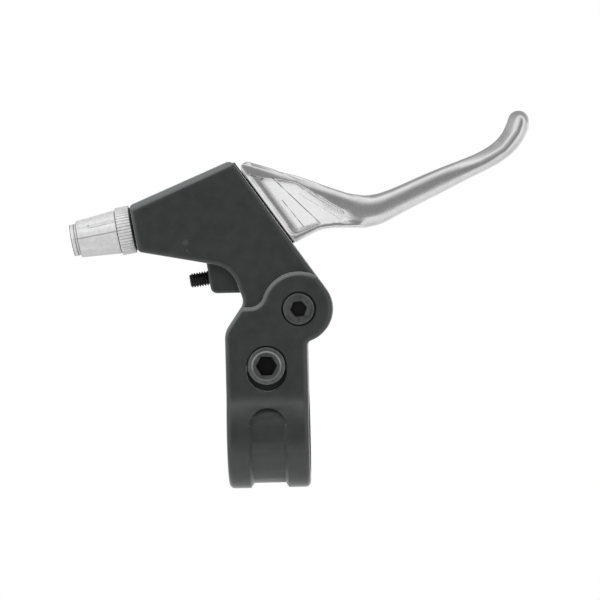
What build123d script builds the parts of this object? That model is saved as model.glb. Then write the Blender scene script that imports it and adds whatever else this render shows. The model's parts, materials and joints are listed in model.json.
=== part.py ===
"""Bicycle brake lever: resin bracket, cast alloy lever, cable adjuster, reach screw and fasteners.

Millimetres. X runs along the handlebar, Y away from the viewer, Z from the handlebar to the lever.
The origin is on the handlebar's axis, midway along the clamp.
"""

import math
import os

from build123d import *

# Handlebar clamp
BAR_RADIUS = 11.1
CLAMP_WALL = 3.4
CLAMP_WIDTH = 22.0
COLUMN_HALF = 10.6
CREASE_RADIUS = 7.0
GROOVE_DEPTH = 1.35
GROOVE_FLOOR = 8.6
GROOVE_FLARE = 0.8
GROOVE_TOP = 7.4
SPLIT_FRONT = 1.6
SPLIT_WIDTH = 1.9
EAR_TOP = 24.7
EAR_GAP = 1.2

# Pivot of the lever, and the slanted mouth that the lever leaves the bracket through
PIVOT_X = 8.93
PIVOT_Z = 33.63
BOSS_RADIUS = 9.1
STEP_RADIUS = 10.0
STEP_ROUND = 1.6
STEP_LEAVES = 50.0
NOTCH_CENTRE = (-13.1, 4.6)
MOUTH_ANGLE = 35.0
MOUTH_LENGTH = 43.0
PEAK_BEND = 2.4

# Housing of the cable, with corners given from the pivot
HOUSING_HALF = 8.6
HOUSING_CORNER = (-17.9, 11.6)
NECK_CORNER = (-14.6, 2.0)
SHOULDER_Z = 27.9
CORNER_BEND = 8.0
NECK_BEND = 3.5
SHOULDER_BEND = 6.0
BOSS_FOOT_BEND = 1.4
TOP_ROUND = 2.8
EDGE_ROUND = 1.3
RAISED_ROUND = 1.5

# Slot for the lever between the two cheeks
SLOT_HALF = 4.5
SLOT_RADIUS = 6.6
SLOT_SIDE_GAP = 1.4
SLOT_TOP = 39.4

# Cable adjuster
ADJUSTER_FROM_PIVOT = (-43.8, 22.8)
ADJUSTER_TILT = 9.5
ADJUSTER_FACE_ABOVE = 6.2
ADJUSTER_FACE_BELOW = 6.55
SHANK_RADIUS = 4.0
SHANK_LENGTH = 17.5
SHANK_ROOM = 2.0
BARREL_BASE_RADIUS = 5.95
BARREL_NOSE_RADIUS = 4.95
BARREL_LENGTH = 10.9
LIP_RADIUS = 4.3
LIP_LENGTH = 1.85
HOUSING_SOCKET_RADIUS = 2.65
HOUSING_SOCKET_DEPTH = 9.0
CABLE_HOLE_RADIUS = 1.2
CABLE_CHANNEL_RADIUS = 2.0
FLUTE_COUNT = 7
FLUTE_RADIUS = 2.2
FLUTE_DEPTH = 0.3
RING_RADIUS = 6.5
RING_WIDTH = 3.7
RING_FROM_BRACKET = 0.8
RING_TO_BARREL = 0.15
KNURL_COUNT = 36
KNURL_DEPTH = 0.3

# Reach screw
REACH_TILT = 8.0
REACH_END_FROM_PIVOT = (-29.3, 8.25)
REACH_RADIUS = 2.0
REACH_LENGTH = 20.0
REACH_KEY = 2.0
REACH_STOP_GAP = 0.2
REACH_STOP_HALF = 3.0
REACH_SHOWS = 5.3
REACH_BOSS_HALF = 4.6
REACH_BOSS_BEND = 1.8
REACH_BOSS_ROUND = 0.8
REACH_WALL_ABOVE = 2.6
REACH_WALL_BELOW = 2.3

# Clamp bolt and nut
CLAMP_BOLT_Z = 18.6
CLAMP_BOLT_RADIUS = 3.0
CLAMP_BOLT_LENGTH = 16.0
CLAMP_HEAD_RADIUS = 5.0
CLAMP_HEAD_HEIGHT = 6.0
CLAMP_HEAD_PROUD = 0.9
CLAMP_HEAD_BEVEL = 1.2
CLAMP_HEAD_FALL = 0.35
CLAMP_KEY = 5.0
CLAMP_POCKET_GAP = 0.4
CLAMP_POCKET_DROP = 1.4
CLAMP_NUT_FLATS = 10.0
CLAMP_NUT_HEIGHT = 5.0

# Pivot bolt, nut and bush
PIVOT_BOLT_RADIUS = 2.5
PIVOT_BOLT_LENGTH = 17.8
PIVOT_HEAD_RADIUS = 4.25
PIVOT_HEAD_HEIGHT = 2.8
PIVOT_HEAD_SUNK = 0.2
PIVOT_HEAD_BEVEL = 0.3
PIVOT_HEAD_FALL = 0.2
PIVOT_HEAD_GAP = 0.45
PIVOT_KEY = 4.0
PIVOT_KEY_TURN = 8.0
PIVOT_NUT_FLATS = 8.0
PIVOT_NUT_HEIGHT = 4.0
BUSH_RADIUS = 3.6

# Return spring, in a recess of the lever's boss
WIRE_RADIUS = 0.4
COIL_RADIUS = 4.5
COIL_PITCH = 1.0
COIL_TURNS = 2.25
COIL_ROOM = 0.3
SPRING_LEG = 1.6
SPRING_BEND = 0.8
SPRING_BEND_RADIUS = 0.7
COIL_START_ANGLE = 0.0
COIL_END_ANGLE = COIL_START_ANGLE - 360 * COIL_TURNS

# Lever: arm inside the bracket, root at the mouth and blade
ARM_HALF = 4.0
ARM_BOSS_RADIUS = 6.2
NIPPLE_RADIUS = 3.6
NIPPLE_WALL = 1.9
NIPPLE_FROM_PIVOT = (-13.9, 27.8)
CABLE_SLIT = 2.2
ROOT_GAP = 0.4
ROOT_FOOT = 15.2
ROOT_HEAD = 44.0
ROOT_HEAD_BEND = 1.8
ROOT_BELLY_BEND = 8.0
RIM_HALF = 5.7
RIM_ROUND = 0.7
RIM_WIDTH = 1.3
LEAN_WIDTH = 2.5
LEAN_TOP_HALF = 3.5
BEAD_WIDTH = 1.4
WEB_HALF = 4.6
POCKET_HEAD = 37.0
PAD_HALF = 5.2
PAD_FLANK = 2.0
PAD_END_SLOPE = 0.9
PAD_TOE_BEND = 0.9
PAD_APEX_BEND = 0.5
PAD_FOOT = 18.0
PAD_HEAD = 35.6
TIP_ROUND = 2.4

# Corners of the root and of its raised pad, given from the pivot
ROOT_SHOULDER = (-6.0, 37.8)
ROOT_END_TOP = (15.5, 27.5)
ROOT_END_FOOT = (18.0, 22.5)
ROOT_BELLY = (6.2, 21.3)
PAD_TOE = (6.3, 22.9)
PAD_APEX = (-6.6, 35.7)

# Sections of the bar and the blade from the pivot: x, z, direction, height, depth, depth at the top, bend
ELBOW = (18.6, 25.9, 0, 8.7, 12.0, 11.2, 3.9)
BAR_SECTIONS = [
    (-12.0, 38.3, -17.5, 2.2, 11.0, 7.2, 0.7),
    (-1.0, 34.4, -17.8, 3.5, 11.9, 6.6, 1.1),
    (7.5, 31.2, -17.8, 4.9, 12.2, 5.4, 1.6),
    (13.8, 28.1, -17, 6.8, 12.2, 6.0, 2.5),
    ELBOW,
]
BLADE_SECTIONS = [
    ELBOW,
    (23.0, 26.8, 16, 7.9, 11.7, 11.7, 3.7),
    (29.1, 29.4, 23, 6.9, 11.2, 11.2, 3.2),
    (39.5, 34.0, 23.5, 6.2, 10.7, 10.7, 2.9),
    (50.1, 38.5, 24.5, 5.2, 10.0, 10.0, 2.4),
    (55.8, 41.9, 38, 5.5, 9.6, 9.6, 2.6),
    (59.3, 46.2, 58, 6.0, 9.2, 9.2, 2.8),
    (61.3, 52.2, 72, 5.5, 8.6, 8.6, 2.6),
]

# Clearances between pieces
RUNNING_GAP = 0.05
SEAT_GAP = 0.1
THREAD_GAP = 0.02
HOLE_GAP = 0.3

# Small edges of the screws and nuts
THREAD_CHAMFER = 0.5
NUT_CHAMFER = 0.4
SOCKET_SHARE = 0.6


def turned(angle):
    """Unit vector in the side view at an angle above the X axis."""
    return Vector(math.cos(math.radians(angle)), math.sin(math.radians(angle)))


PIVOT = Vector(PIVOT_X, PIVOT_Z)
MOUTH_OUT = turned(MOUTH_ANGLE)
MOUTH_UP = turned(MOUTH_ANGLE + 90)
ADJUSTER_IN = turned(ADJUSTER_TILT)
ADJUSTER_UP = turned(ADJUSTER_TILT + 90)
ADJUSTER_FACE = PIVOT + Vector(*ADJUSTER_FROM_PIVOT)
REACH_IN = turned(REACH_TILT)
REACH_UP = turned(REACH_TILT + 90)
REACH_END = PIVOT + Vector(*REACH_END_FROM_PIVOT)
NIPPLE = PIVOT + Vector(*NIPPLE_FROM_PIVOT)
CLAMP_RADIUS = BAR_RADIUS + CLAMP_WALL
CLAMP_HALF = CLAMP_WIDTH / 2
CLAMP_SEAT_Y = CLAMP_HEAD_HEIGHT - CLAMP_HEAD_PROUD - COLUMN_HALF
PIVOT_SEAT_Y = PIVOT_HEAD_HEIGHT + PIVOT_HEAD_SUNK - COLUMN_HALF
PIVOT_NUT_SEAT_Y = COLUMN_HALF - PIVOT_NUT_HEIGHT - PIVOT_HEAD_SUNK
CLAMP_NUT_SEAT_Y = COLUMN_HALF - CLAMP_NUT_HEIGHT
HEX_CORNER = 1 / math.cos(math.radians(30))


def from_pivot(x, z):
    """Point of the side view, given from the pivot."""
    return PIVOT + Vector(x, z)


def by_mouth(out, up):
    """Point of the side view, given across and along the mouth from the pivot."""
    return PIVOT + MOUTH_OUT * out + MOUTH_UP * up


def side_face(points, bends):
    """Closed outline in the side view with one bend radius for each corner."""
    return make_face(FilletPolyline(*points, radius=bends, close=True))


def plate(face, half):
    """Side-view face as a plate of equal depth in front of and behind the middle plane."""
    return extrude(Plane.XZ * face, amount=half, both=True)


def layer(face, front, back):
    """Side-view face as a layer between two depths along Y."""
    return extrude(Plane.XZ.offset(-back) * face, amount=back - front)


def rod(point, radius, front, back):
    """Round rod along Y through a point of the side view."""
    return layer(Pos(point.X, point.Y) * Circle(radius), front, back)


def hexagon(point, flats, front, back, turn=0):
    """Hexagonal prism along Y, across-flats size, flats level at turn 0."""
    face = Pos(point.X, point.Y) * Rot(0, 0, turn) * RegularPolygon(flats / 2 * HEX_CORNER, 6)
    return layer(face, front, back)


def axis_plane(point, along):
    """Plane square to a line of the side view, with Y across it."""
    return Plane(origin=(point.X, 0, point.Y), x_dir=(0, 1, 0), z_dir=(along.X, 0, along.Y))


def profile_edges(part):
    """Edges that follow the outline, leaving out the straight ones along X or Y."""
    straight = part.edges().filter_by(Axis.X) + part.edges().filter_by(Axis.Y)
    return ShapeList(edge for edge in part.edges() if edge not in straight)


# Bracket
CLAMP_BOLT = Vector(0, CLAMP_BOLT_Z)
PEAK = by_mouth(BOSS_RADIUS, MOUTH_LENGTH)
FACE_TOP = ADJUSTER_FACE + ADJUSTER_UP * ADJUSTER_FACE_ABOVE
FACE_FOOT = ADJUSTER_FACE - ADJUSTER_UP * ADJUSTER_FACE_BELOW


def bracket_outline():
    """Side view of the whole moulding down to the handlebar, without the reach boss."""
    points = [
        PEAK,
        FACE_TOP,
        FACE_FOOT,
        from_pivot(*HOUSING_CORNER),
        from_pivot(*NECK_CORNER),
        Vector(-CLAMP_HALF, SHOULDER_Z),
        Vector(-CLAMP_HALF, 0),
        Vector(CLAMP_HALF, 0),
        Vector(CLAMP_HALF, PIVOT_Z),
        by_mouth(BOSS_RADIUS, 0),
    ]
    corners = [PEAK_BEND, EDGE_ROUND, EDGE_ROUND]
    bends = corners + [CORNER_BEND, NECK_BEND, SHOULDER_BEND, 0, 0, 0, 0]
    outline = side_face(points, bends) + Pos(PIVOT_X, PIVOT_Z) * Circle(BOSS_RADIUS)
    foot_z = PIVOT_Z - math.sqrt(BOSS_RADIUS**2 - (CLAMP_HALF - PIVOT_X) ** 2)
    foot = outline.vertices().sort_by_distance((CLAMP_HALF, foot_z))[0]
    return fillet(foot, BOSS_FOOT_BEND)


def step_cap():
    """Block whose upper edge is the S-shaped step round the pivot boss, rounded in front and behind."""
    notch = from_pivot(*NOTCH_CENTRE)
    to_pivot = PIVOT - notch
    notch_radius = to_pivot.length - STEP_RADIUS
    turn = math.degrees(math.atan2(to_pivot.Y, to_pivot.X))
    notch_arc = CenterArc(notch, notch_radius, -90, 90 + turn)
    step_arc = CenterArc(PIVOT, STEP_RADIUS, 180 + turn, STEP_LEAVES - 180 - turn)
    beyond = step_arc @ 1 + turned(STEP_LEAVES - 90) * CLAMP_WIDTH
    left = Vector(-CLAMP_WIDTH, (notch_arc @ 0).Y)
    rest = Polyline(step_arc @ 1, beyond, (beyond.X, EAR_TOP), (left.X, EAR_TOP), left, notch_arc @ 0)
    cap = plate(make_face([notch_arc, step_arc, rest]), COLUMN_HALF)
    arcs = [edge for edge in profile_edges(cap) if edge.geom_type == GeomType.CIRCLE]
    return fillet(arcs, STEP_ROUND)


def top_cap():
    """Block below the housing's sloping top line, with a broad round along both upper edges."""
    along = FACE_TOP - PEAK
    middle = (PEAK + FACE_TOP) / 2
    size = 4 * along.length
    slope = Plane(origin=(middle.X, 0, middle.Y), x_dir=(along.X, 0, along.Y), z_dir=(along.Y, 0, -along.X))
    block = Box(size, 2 * HOUSING_HALF, size, align=(Align.CENTER, Align.CENTER, Align.MAX))
    top = block.faces().sort_by(Axis.Z)[-1]
    return slope * fillet(top.edges().filter_by(Axis.X), TOP_ROUND)


def housing(outline):
    """Upper body: the outline as one plate with rounded edges, broader along the top."""
    body = plate(outline, HOUSING_HALF)
    return fillet(profile_edges(body), EDGE_ROUND) & top_cap()


def clamp_column(outline):
    """Pivot boss, neck, column and clamp ring, rounded along the outer edges."""
    ring = Circle(CLAMP_RADIUS) + Pos(0, EAR_TOP / 2) * Rectangle(2 * COLUMN_HALF, EAR_TOP)
    crease_z = math.sqrt(CLAMP_RADIUS**2 - COLUMN_HALF**2)
    creases = [
        ring.vertices().sort_by_distance((side * COLUMN_HALF, crease_z))[0] for side in (-1, 1)
    ]
    ring = fillet(creases, CREASE_RADIUS)
    column = extrude(Plane.YZ * ring, amount=CLAMP_HALF, both=True)
    reach = PIVOT_Z + 2 * STEP_RADIUS
    below = Pos(0, reach / 2) * Rectangle(4 * CLAMP_WIDTH, reach)
    body = column + plate(outline & below, COLUMN_HALF)
    body = fillet(profile_edges(body), RAISED_ROUND)
    foot = Pos(0, 0, (EAR_TOP - CLAMP_RADIUS) / 2) * Box(
        2 * CLAMP_WIDTH, 4 * COLUMN_HALF, EAR_TOP + CLAMP_RADIUS
    )
    return body & (step_cap() + foot)


def reach_boss():
    """Narrow boss under the housing that the reach screw runs in."""
    outer = REACH_END + REACH_IN * REACH_SHOWS
    foot = outer - REACH_UP * (REACH_RADIUS + REACH_WALL_BELOW)
    inner = from_pivot(*NECK_CORNER)
    roof = from_pivot(*HOUSING_CORNER) + Vector(0, REACH_RADIUS)
    points = [
        outer + REACH_UP * (REACH_RADIUS + REACH_WALL_ABOVE),
        foot,
        Vector(inner.X, foot.Y),
        Vector(inner.X, roof.Y),
    ]
    boss = plate(side_face(points, [0, REACH_BOSS_BEND, 0, 0]), REACH_BOSS_HALF)
    return fillet(boss.edges().filter_by(GeomType.CIRCLE), REACH_BOSS_ROUND)


def clamp_groove():
    """Channel round the clamp ring, arched at its front and rear ends."""
    floor = CLAMP_RADIUS - GROOVE_DEPTH
    half = GROOVE_FLOOR / 2
    flare = half + 2 * GROOVE_FLARE
    section = Polygon(
        (-half, floor), (half, floor), (flare, floor + 2 * GROOVE_DEPTH), (-flare, floor + 2 * GROOVE_DEPTH),
        align=None,
    )
    channel = revolve(section, Axis.X)
    arch_half = half + GROOVE_FLARE
    arch = Pos(0, GROOVE_TOP - arch_half) * Circle(arch_half)
    arch += Pos(0, -CLAMP_RADIUS) * Rectangle(2 * arch_half, 2 * (GROOVE_TOP - arch_half + CLAMP_RADIUS))
    return channel & plate(arch, 2 * CLAMP_RADIUS)


def clamp_split():
    """Cut that frees the rear ear: up from the bore, then out to the rear above the ear."""
    top = EAR_TOP + EAR_GAP
    rear = 2 * CLAMP_RADIUS
    up = Polygon(
        (SPLIT_FRONT, 0),
        (SPLIT_FRONT, top),
        (rear, top),
        (rear, EAR_TOP),
        (SPLIT_FRONT + SPLIT_WIDTH, EAR_TOP),
        (SPLIT_FRONT + SPLIT_WIDTH, 0),
        align=None,
    )
    return extrude(Plane.YZ * up, amount=CLAMP_WIDTH, both=True)


def lever_slot():
    """Room for the lever's arm, open along the mouth and past the pivot."""
    room = offset(arm_outline(), SLOT_SIDE_GAP)
    far = 2 * MOUTH_LENGTH
    floor_z = PIVOT_Z - SLOT_RADIUS
    opening = Polygon(
        PIVOT,
        by_mouth(0, SLOT_TOP),
        by_mouth(far, SLOT_TOP),
        (far, floor_z),
        (PIVOT_X, floor_z),
        align=None,
    )
    return plate(room + opening + Pos(PIVOT_X, PIVOT_Z) * Circle(SLOT_RADIUS), SLOT_HALF)


def pivot_holes():
    """Bolt hole through both cheeks, sunk seat in front and nut pocket behind."""
    far = 2 * COLUMN_HALF
    holes = rod(PIVOT, PIVOT_BOLT_RADIUS + RUNNING_GAP, -far, far)
    holes += rod(PIVOT, PIVOT_HEAD_RADIUS + PIVOT_HEAD_GAP, -far, PIVOT_SEAT_Y)
    return holes + hexagon(PIVOT, PIVOT_NUT_FLATS + 2 * SEAT_GAP, PIVOT_NUT_SEAT_Y, far)


def clamp_bolt_holes():
    """Bolt hole through column and ear, oval head pocket in front and nut pocket behind."""
    far = 2 * COLUMN_HALF
    pocket_radius = CLAMP_HEAD_RADIUS + CLAMP_POCKET_GAP
    pocket = Pos(0, CLAMP_BOLT_Z) * Circle(pocket_radius)
    pocket += Pos(0, CLAMP_BOLT_Z - CLAMP_POCKET_DROP) * Circle(pocket_radius)
    pocket += Pos(0, CLAMP_BOLT_Z - CLAMP_POCKET_DROP / 2) * Rectangle(2 * pocket_radius, CLAMP_POCKET_DROP)
    holes = rod(CLAMP_BOLT, CLAMP_BOLT_RADIUS + HOLE_GAP, -far, far)
    holes += layer(pocket, -far, CLAMP_SEAT_Y)
    return holes + hexagon(CLAMP_BOLT, CLAMP_NUT_FLATS + 2 * SEAT_GAP, CLAMP_NUT_SEAT_Y, far)


def cable_holes():
    """Bore for the adjuster's shank, and the smaller hole that leads the cable on to the lever."""
    shank_end = SHANK_LENGTH - RING_WIDTH - RING_FROM_BRACKET - RING_TO_BARREL
    bore = shank_end + SHANK_ROOM
    inward = axis_plane(ADJUSTER_FACE, ADJUSTER_IN)
    to_nipple = (NIPPLE - ADJUSTER_FACE).length
    holes = inward * extrude(Circle(SHANK_RADIUS + RUNNING_GAP), amount=bore)
    return holes + inward * extrude(Circle(CABLE_CHANNEL_RADIUS), amount=to_nipple)


def reach_hole():
    inward = axis_plane(REACH_END, REACH_IN)
    return inward * extrude(Circle(REACH_RADIUS + RUNNING_GAP), amount=REACH_LENGTH)


def spring_hole():
    """Hole in the rear cheek for one leg of the return spring."""
    return rod(SPRING_END, WIRE_RADIUS + SEAT_GAP, 0, SLOT_HALF + SPRING_LEG + SEAT_GAP)


def bracket():
    outline = bracket_outline()
    body = housing(outline) + clamp_column(outline) + reach_boss()
    body -= Rot(0, 90, 0) * Cylinder(BAR_RADIUS, 2 * CLAMP_WIDTH)
    body -= clamp_groove()
    body -= clamp_split()
    body -= lever_slot()
    body -= pivot_holes()
    body -= clamp_bolt_holes()
    body -= cable_holes()
    body -= reach_hole()
    return body - spring_hole()


# Lever
ROOT_IN = BOSS_RADIUS + ROOT_GAP
REACH_TIP = REACH_END + REACH_IN * REACH_LENGTH
COIL_START_Y = ARM_HALF - COIL_PITCH * COIL_TURNS - WIRE_RADIUS - SEAT_GAP
RECESS_Y = COIL_START_Y - WIRE_RADIUS - SEAT_GAP


def spring_leg(angle, side):
    """Place of a leg of the return spring in the side view, bent off the coil at an angle."""
    return PIVOT + turned(angle) * COIL_RADIUS + turned(angle - 90) * SPRING_BEND * side


SPRING_START = spring_leg(COIL_START_ANGLE, -1)
SPRING_END = spring_leg(COIL_END_ANGLE, 1)


def arm_outline():
    """Side view of the arm inside the bracket: pivot boss, stop face and nipple holder."""
    nipple = NIPPLE - PIVOT
    nipple_out = nipple.dot(MOUTH_OUT)
    nipple_up = nipple.dot(MOUTH_UP)
    holder = NIPPLE_RADIUS + NIPPLE_WALL
    stop = REACH_TIP + REACH_IN * REACH_STOP_GAP
    points = [
        by_mouth(ARM_BOSS_RADIUS, 0),
        by_mouth(ARM_BOSS_RADIUS, ROOT_FOOT - ARM_BOSS_RADIUS / 2),
        by_mouth(ROOT_IN + BEAD_WIDTH / 2, ROOT_FOOT + BEAD_WIDTH / 2),
        by_mouth(ROOT_IN + BEAD_WIDTH / 2, nipple_up + holder),
        by_mouth(nipple_out - holder, nipple_up + holder),
        by_mouth(nipple_out - holder, nipple_up - holder),
        stop + REACH_UP * REACH_STOP_HALF,
        stop - REACH_UP * REACH_STOP_HALF,
        PIVOT - MOUTH_OUT * ARM_BOSS_RADIUS,
    ]
    bends = [0, NIPPLE_WALL, 0, 0, holder - SEAT_GAP, NIPPLE_WALL, 0, 0, 0]
    return side_face(points, bends) + Pos(PIVOT_X, PIVOT_Z) * Circle(ARM_BOSS_RADIUS)


def lever_arm():
    """Arm with its bearing hole, spring recess, nipple pocket and the slit that the cable leaves by."""
    arm = plate(arm_outline(), ARM_HALF)
    arm -= rod(PIVOT, BUSH_RADIUS + RUNNING_GAP, -ARM_HALF, ARM_HALF)
    arm -= rod(PIVOT, COIL_RADIUS + WIRE_RADIUS + COIL_ROOM, RECESS_Y, ARM_HALF)
    arm -= rod(SPRING_START, WIRE_RADIUS + SEAT_GAP, RECESS_Y - SPRING_LEG - SEAT_GAP, RECESS_Y)
    arm -= rod(NIPPLE, NIPPLE_RADIUS, -ARM_HALF, ARM_HALF)
    slit_length = 3 * NIPPLE_RADIUS
    slit_middle = NIPPLE - ADJUSTER_IN * slit_length / 2
    slit = Pos(slit_middle.X, slit_middle.Y) * Rot(0, 0, ADJUSTER_TILT) * Rectangle(slit_length, CABLE_SLIT)
    return arm - layer(slit, -CABLE_SLIT / 2, ARM_HALF)


def lever_root():
    """Root at the mouth: a frame with a bead and a rim, leaning back along its top, with recess and pad."""
    belly = from_pivot(*ROOT_BELLY)
    end_foot = from_pivot(*ROOT_END_FOOT)
    end_top = from_pivot(*ROOT_END_TOP)
    shoulder = from_pivot(*ROOT_SHOULDER)
    head = by_mouth(ROOT_IN, ROOT_HEAD)
    points = [
        by_mouth(ROOT_IN, ROOT_FOOT),
        head,
        shoulder,
        end_top,
        end_foot,
        belly,
    ]
    root = plate(side_face(points, [0, ROOT_HEAD_BEND, 0, 0, 0, ROOT_BELLY_BEND]), RIM_HALF)
    root = fillet(profile_edges(root), RIM_ROUND)
    downward = (shoulder - head).normalized().rotate(Axis.Z, -90)
    root &= sloped_block(shoulder, downward, LEAN_WIDTH, LEAN_TOP_HALF, RIM_HALF)
    recess_out = ROOT_IN + BEAD_WIDTH
    recess = [
        by_mouth(recess_out, ROOT_FOOT + RIM_WIDTH),
        by_mouth(recess_out, POCKET_HEAD),
        end_top,
        end_foot + Vector(0, RIM_WIDTH),
        belly + Vector(0, RIM_WIDTH),
    ]
    recess = side_face(recess, [0, 0, 0, 0, ROOT_BELLY_BEND])
    root -= layer(recess, -2 * RIM_HALF, -WEB_HALF) + layer(recess, WEB_HALF, 2 * RIM_HALF)
    return root + root_pad(recess_out)


def sloped_block(point, inward, width, low, high):
    """Block on one side of a line, rising from a low to a high half depth over a width."""
    far = 2 * MOUTH_LENGTH
    section = Polygon(
        (0, low), (width, high), (far, high), (far, -high), (width, -high), (0, -low), align=None
    )
    along = inward.rotate(Axis.Z, 90)
    across = Plane(
        origin=(point.X, 0, point.Y), x_dir=(inward.X, 0, inward.Y), z_dir=(along.X, 0, along.Y)
    )
    return extrude(across * section, amount=far, both=True)


def root_pad(out):
    """Raised pad on either side of the root, sloped down to the bead and to its lower end."""
    foot = by_mouth(out, PAD_FOOT)
    toe = from_pivot(*PAD_TOE)
    points = [foot, toe, from_pivot(*PAD_APEX), by_mouth(out, PAD_HEAD)]
    pad = plate(side_face(points, [0, PAD_TOE_BEND, PAD_APEX_BEND, 0]), PAD_HALF)
    upward = (toe - foot).normalized().rotate(Axis.Z, 90)
    pad &= sloped_block(foot, MOUTH_OUT, PAD_FLANK, WEB_HALF, PAD_HALF)
    return pad & sloped_block(foot, upward, PAD_END_SLOPE, WEB_HALF, PAD_HALF)


def rounded_bar(sections):
    """Loft through rounded sections that stand square to the lever, some of them narrower at the top."""
    faces = []
    for x, z, angle, height, depth, top_depth, bend in sections:
        points = [
            (-depth / 2, -height / 2),
            (depth / 2, -height / 2),
            (top_depth / 2, height / 2),
            (-top_depth / 2, height / 2),
        ]
        faces.append(axis_plane(from_pivot(x, z), turned(angle)) * side_face(points, [bend] * len(points)))
    return loft(faces)


def lever_blade():
    """Bar along the top of the root, then the blade from the elbow to the hooked tip."""
    blade = rounded_bar(BLADE_SECTIONS)
    tip = blade.faces().sort_by(Axis.Z)[-1]
    return rounded_bar(BAR_SECTIONS) + fillet(tip.edges(), TIP_ROUND)


def lever():
    return lever_arm() + lever_root() + lever_blade()


# Cable adjuster
OUTWARD = axis_plane(ADJUSTER_FACE, ADJUSTER_IN * -1)
BARREL_START = RING_FROM_BRACKET + RING_WIDTH + RING_TO_BARREL


def barrel_adjuster():
    """Turned barrel with a fluted cone, a plain lip at its nose and a shank into the bracket."""
    cone_end = BARREL_START + BARREL_LENGTH
    nose = cone_end + LIP_LENGTH
    shank_end = BARREL_START - SHANK_LENGTH
    profile = Polygon(
        (0, shank_end),
        (SHANK_RADIUS, shank_end),
        (SHANK_RADIUS, BARREL_START),
        (BARREL_BASE_RADIUS, BARREL_START),
        (BARREL_NOSE_RADIUS, cone_end),
        (LIP_RADIUS, cone_end),
        (LIP_RADIUS, nose),
        (0, nose),
        align=None,
    )
    barrel = revolve(Plane.XZ * profile, Axis.Z)
    barrel -= Pos(0, 0, nose) * Cylinder(HOUSING_SOCKET_RADIUS, 2 * HOUSING_SOCKET_DEPTH)
    barrel -= Cylinder(CABLE_HOLE_RADIUS, 4 * nose)
    slope = math.degrees(math.atan2(BARREL_BASE_RADIUS - BARREL_NOSE_RADIUS, BARREL_LENGTH))
    middle_radius = (BARREL_BASE_RADIUS + BARREL_NOSE_RADIUS) / 2
    flute = Pos(middle_radius + FLUTE_RADIUS - FLUTE_DEPTH, 0, (BARREL_START + cone_end) / 2)
    flute = flute * Rot(0, -slope, 0) * Cylinder(FLUTE_RADIUS, 2 * BARREL_LENGTH)
    flutes = [Rot(0, 0, i * 360 / FLUTE_COUNT) * flute for i in range(FLUTE_COUNT)]
    keep = Pos(0, 0, cone_end + BARREL_LENGTH) * Cylinder(2 * RING_RADIUS, 2 * BARREL_LENGTH)
    keep += Pos(0, 0, BARREL_START - BARREL_LENGTH) * Cylinder(2 * RING_RADIUS, 2 * BARREL_LENGTH)
    for tool in flutes:
        barrel -= tool - keep
    return OUTWARD * barrel


def lock_ring():
    """Ring on the adjuster's shank with a straight knurl round its rim."""
    step = 180 / KNURL_COUNT
    rim = [
        turned(i * step) * (RING_RADIUS - KNURL_DEPTH * (i % 2)) for i in range(2 * KNURL_COUNT)
    ]
    ring = extrude(Polygon(*rim, align=None) - Circle(SHANK_RADIUS + RUNNING_GAP), amount=RING_WIDTH)
    return OUTWARD * Pos(0, 0, RING_FROM_BRACKET) * ring


# Screws, nuts and spring
def socket_screw(point, seat_y, head, shank, key, key_turn):
    """Screw along Y with a bevelled head in front of its seat and a hexagon socket in the head."""
    head_radius, head_height, bevel, fall = head
    shank_radius, shank_length = shank
    face_y = seat_y - head_height
    top = rod(point, head_radius, face_y, seat_y)
    face = top.faces().sort_by(Axis.Y)[0]
    top = chamfer(face.edges(), bevel, fall, reference=face)
    tail = rod(point, shank_radius, seat_y, seat_y + shank_length)
    end = tail.edges().filter_by(GeomType.CIRCLE).sort_by(Axis.Y)[-1]
    screw = top + chamfer(end, THREAD_CHAMFER)
    return screw - hexagon(point, key, face_y, face_y + SOCKET_SHARE * head_height, key_turn)


def hexagon_nut(point, flats, height, bore, front, turn=0):
    """Nut with its corners turned off at both ends."""
    nut = hexagon(point, flats, front, front + height, turn)
    turned_off = rod(point, flats / 2 * HEX_CORNER, front, front + height)
    nut &= chamfer(turned_off.edges().filter_by(GeomType.CIRCLE), NUT_CHAMFER)
    return nut - rod(point, bore, front, front + height)


def clamp_bolt():
    head = (CLAMP_HEAD_RADIUS, CLAMP_HEAD_HEIGHT, CLAMP_HEAD_BEVEL, CLAMP_HEAD_FALL)
    shank = (CLAMP_BOLT_RADIUS, CLAMP_BOLT_LENGTH)
    return socket_screw(CLAMP_BOLT, CLAMP_SEAT_Y, head, shank, CLAMP_KEY, 0)


def clamp_nut():
    bore = CLAMP_BOLT_RADIUS + THREAD_GAP
    return hexagon_nut(CLAMP_BOLT, CLAMP_NUT_FLATS, CLAMP_NUT_HEIGHT, bore, CLAMP_NUT_SEAT_Y)


def pivot_bolt():
    head = (PIVOT_HEAD_RADIUS, PIVOT_HEAD_HEIGHT, PIVOT_HEAD_BEVEL, PIVOT_HEAD_FALL)
    shank = (PIVOT_BOLT_RADIUS, PIVOT_BOLT_LENGTH)
    return socket_screw(PIVOT, PIVOT_SEAT_Y, head, shank, PIVOT_KEY, PIVOT_KEY_TURN)


def pivot_nut():
    bore = PIVOT_BOLT_RADIUS + THREAD_GAP
    return hexagon_nut(PIVOT, PIVOT_NUT_FLATS, PIVOT_NUT_HEIGHT, bore, PIVOT_NUT_SEAT_Y)


def pivot_bush():
    """Sleeve on the pivot bolt, as long as the slot is wide."""
    half = SLOT_HALF - RUNNING_GAP
    return rod(PIVOT, BUSH_RADIUS, -half, half) - rod(PIVOT, PIVOT_BOLT_RADIUS + RUNNING_GAP, -half, half)


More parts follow.
